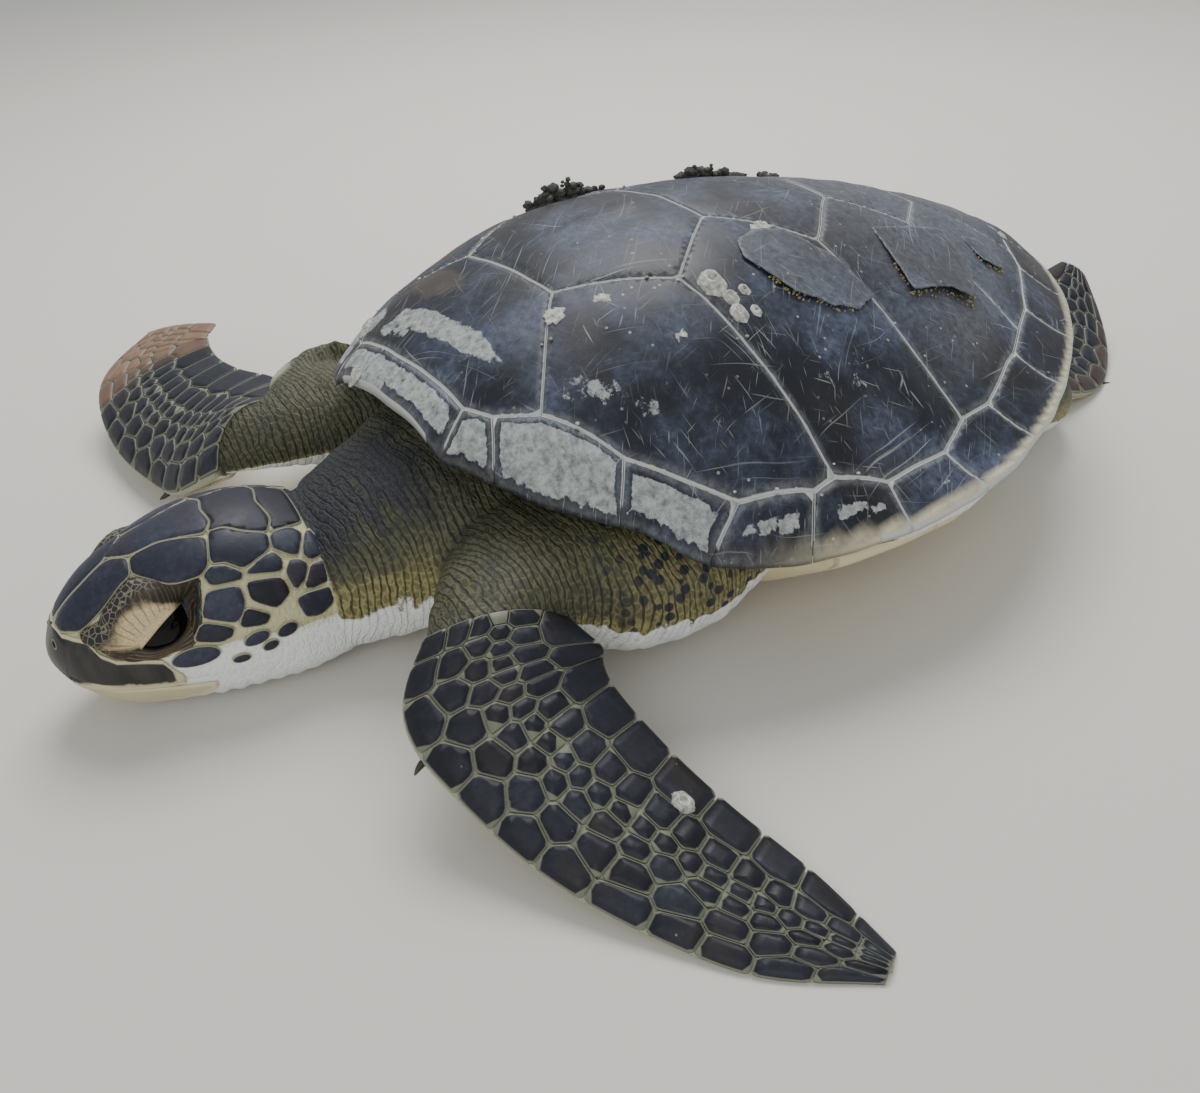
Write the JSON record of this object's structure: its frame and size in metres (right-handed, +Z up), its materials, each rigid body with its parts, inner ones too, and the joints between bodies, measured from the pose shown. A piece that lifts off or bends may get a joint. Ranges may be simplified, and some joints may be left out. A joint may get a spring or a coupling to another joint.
{
  "type": "sea turtle model",
  "caption": "Life-size still model of a young green sea turtle resting on its belly, head straight ahead on its chin, front flippers spread.",
  "frame": {"origin": "on the floor, under the middle of the whole turtle's bounding box", "axes": "+Z up, -Y towards the beak, +X to the turtle's own left side"},
  "size_m": [0.4776, 0.5285, 0.1291],
  "materials": {
    "shell_plate": "satin horn, dark blue-black, scratched and worn",
    "shell_rim": "satin horn with chalky grey wear",
    "belly_plate": "satin horn, cream",
    "skin": "dull wrinkled skin, olive above and cream below",
    "head_scales": "satin scales, dark with pale yellow seams",
    "flipper_scales": "satin scales, blue-black with grey seams",
    "beak": "satin horn, dark with a cream edge",
    "jaw": "satin horn, cream",
    "eye": "wet, almost black",
    "claw": "satin horn, pale brown"
  },
  "bodies": {
    "root": {"arm_left": "skin", "arm_right": "skin", "beak_upper": "beak", "claw_front_left": "claw", "claw_front_right": "claw", "claw_hind_left": "claw", "claw_hind_right": "claw", "costal_1_left": "shell_plate", "costal_1_right": "shell_plate", "costal_2_left": "shell_plate", "costal_2_right": "shell_plate", "costal_3_left": "shell_plate", "costal_3_right": "shell_plate", "costal_4_left": "shell_plate", "costal_4_right": "shell_plate", "eye_left": "eye", "eye_right": "eye", "flipper_left": "flipper_scales", "flipper_right": "flipper_scales", "foot_left": "flipper_scales", "foot_right": "flipper_scales", "head": "head_scales", "jaw": "jaw", "marginal_10_left": "shell_rim", "marginal_10_right": "shell_rim", "marginal_11_left": "shell_rim", "marginal_11_right": "shell_rim", "marginal_12_left": "shell_rim", "marginal_12_right": "shell_rim", "marginal_1_left": "shell_rim", "marginal_1_right": "shell_rim", "marginal_2_left": "shell_rim", "marginal_2_right": "shell_rim", "marginal_3_left": "shell_rim", "marginal_3_right": "shell_rim", "marginal_4_left": "shell_rim", "marginal_4_right": "shell_rim", "marginal_5_left": "shell_rim", "marginal_5_right": "shell_rim", "marginal_6_left": "shell_rim", "marginal_6_right": "shell_rim", "marginal_7_left": "shell_rim", "marginal_7_right": "shell_rim", "marginal_8_left": "shell_rim", "marginal_8_right": "shell_rim", "marginal_9_left": "shell_rim", "marginal_9_right": "shell_rim", "neck": "skin", "nuchal": "shell_rim", "plastron": "belly_plate", "tail": "skin", "thigh_left": "skin", "thigh_right": "skin", "trunk": "skin", "vertebral_1": "shell_plate", "vertebral_2": "shell_plate", "vertebral_3": "shell_plate", "vertebral_4": "shell_plate", "vertebral_5": "shell_plate"}
  },
  "joints": []
}
